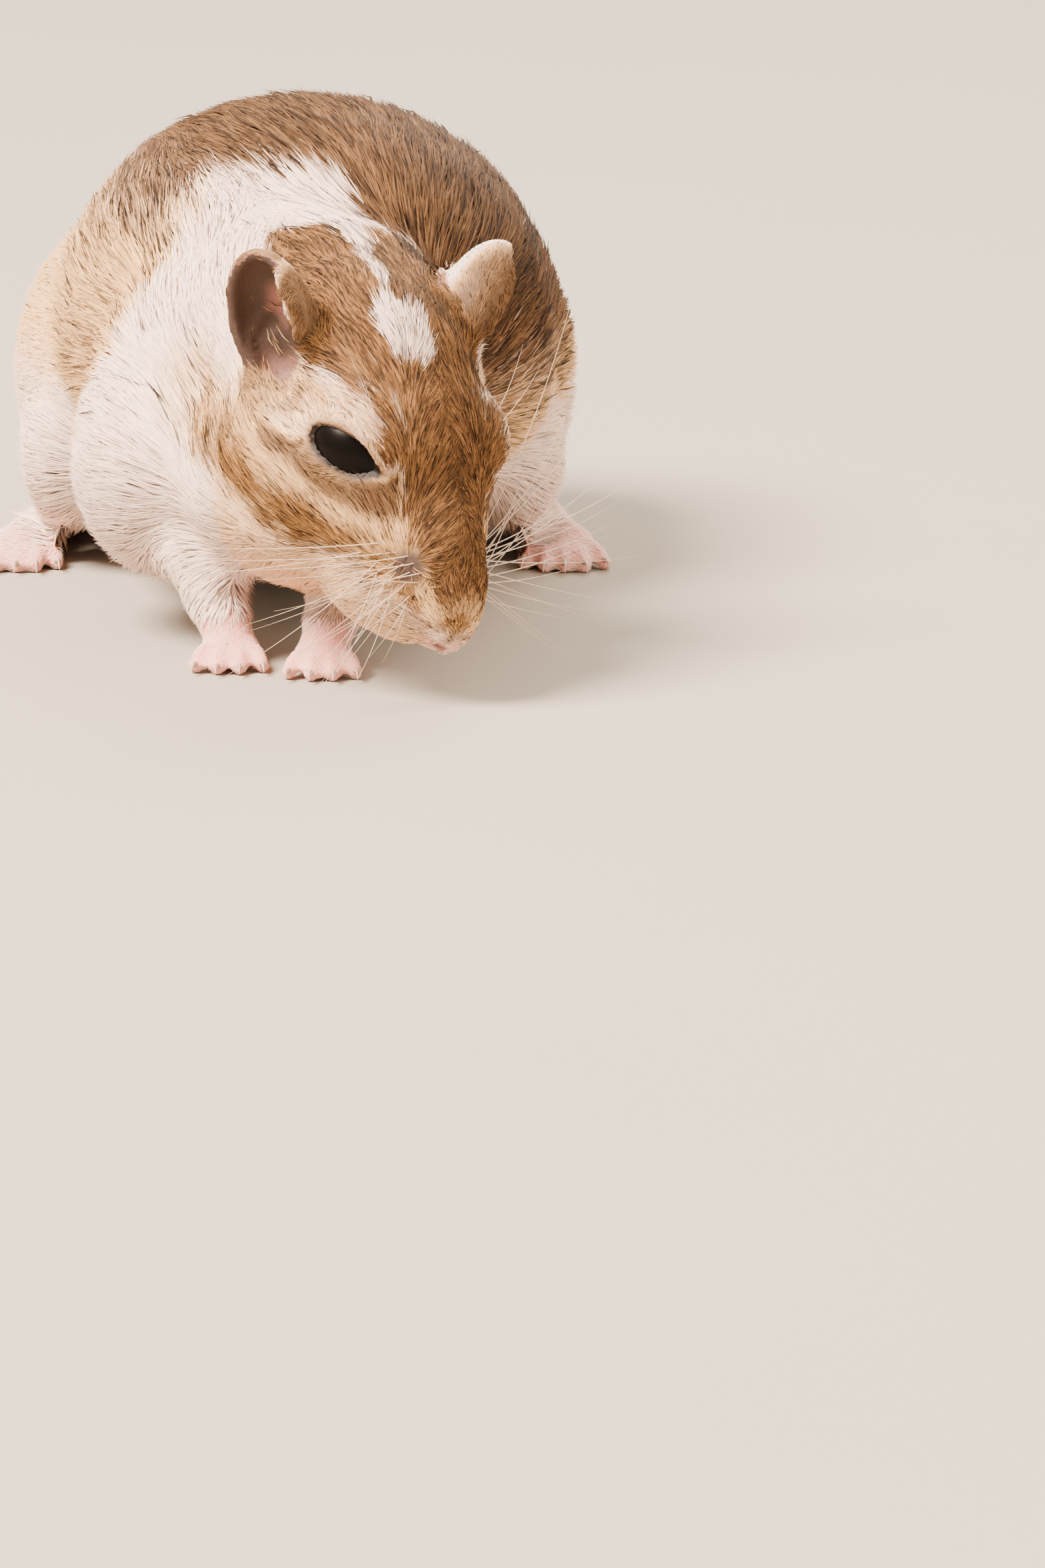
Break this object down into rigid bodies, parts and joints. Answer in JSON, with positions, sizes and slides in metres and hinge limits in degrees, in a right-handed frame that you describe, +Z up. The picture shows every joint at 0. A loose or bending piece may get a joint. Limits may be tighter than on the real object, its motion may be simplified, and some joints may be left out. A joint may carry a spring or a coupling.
{
  "type": "gerbil",
  "caption": "Crouching gerbil at life size, head lowered and turned to its left, paws under the chin and tail laid out behind.",
  "frame": {"origin": "middle of the footprint on the floor", "axes": "+Z up, the nose towards -Y and the tail towards +Y, the animal's left towards +X"},
  "size_m": [0.0578, 0.1894, 0.0422],
  "materials": {
    "fur": "golden brown agouti coat, matte, with dark tips",
    "white_fur": "warm white coat, matte",
    "ear_skin": "thin soft skin, dark taupe to pink",
    "paw_skin": "bare pink skin with sparse white hair",
    "claw": "horn, pale and slightly clear",
    "eye": "wet black",
    "nose": "short pale fur over skin"
  },
  "bodies": {
    "root": {"back": "fur", "chest": "white_fur", "ear_left": "ear_skin", "ear_right": "ear_skin", "eye_left": "eye", "eye_right": "eye", "fore_claw_left_1": "claw", "fore_claw_left_2": "claw", "fore_claw_left_3": "claw", "fore_claw_left_4": "claw", "fore_claw_right_1": "claw", "fore_claw_right_2": "claw", "fore_claw_right_3": "claw", "fore_claw_right_4": "claw", "forearm_left": "white_fur", "forearm_right": "white_fur", "forepaw_left": "paw_skin", "forepaw_right": "paw_skin", "head": "fur", "hind_claw_left_1": "claw", "hind_claw_left_2": "claw", "hind_claw_left_3": "claw", "hind_claw_left_4": "claw", "hind_claw_left_5": "claw", "hind_claw_right_1": "claw", "hind_claw_right_2": "claw", "hind_claw_right_3": "claw", "hind_claw_right_4": "claw", "hind_claw_right_5": "claw", "hind_foot_left": "paw_skin", "hind_foot_right": "paw_skin", "jaw": "white_fur", "neck": "fur", "nose": "nose", "rump": "fur", "shin_left": "white_fur", "shin_right": "white_fur", "shoulder_left": "white_fur", "shoulder_right": "white_fur", "tail_base": "fur", "tail_middle": "fur", "tail_tip": "fur", "thigh_left": "fur", "thigh_right": "fur"}
  },
  "joints": []
}
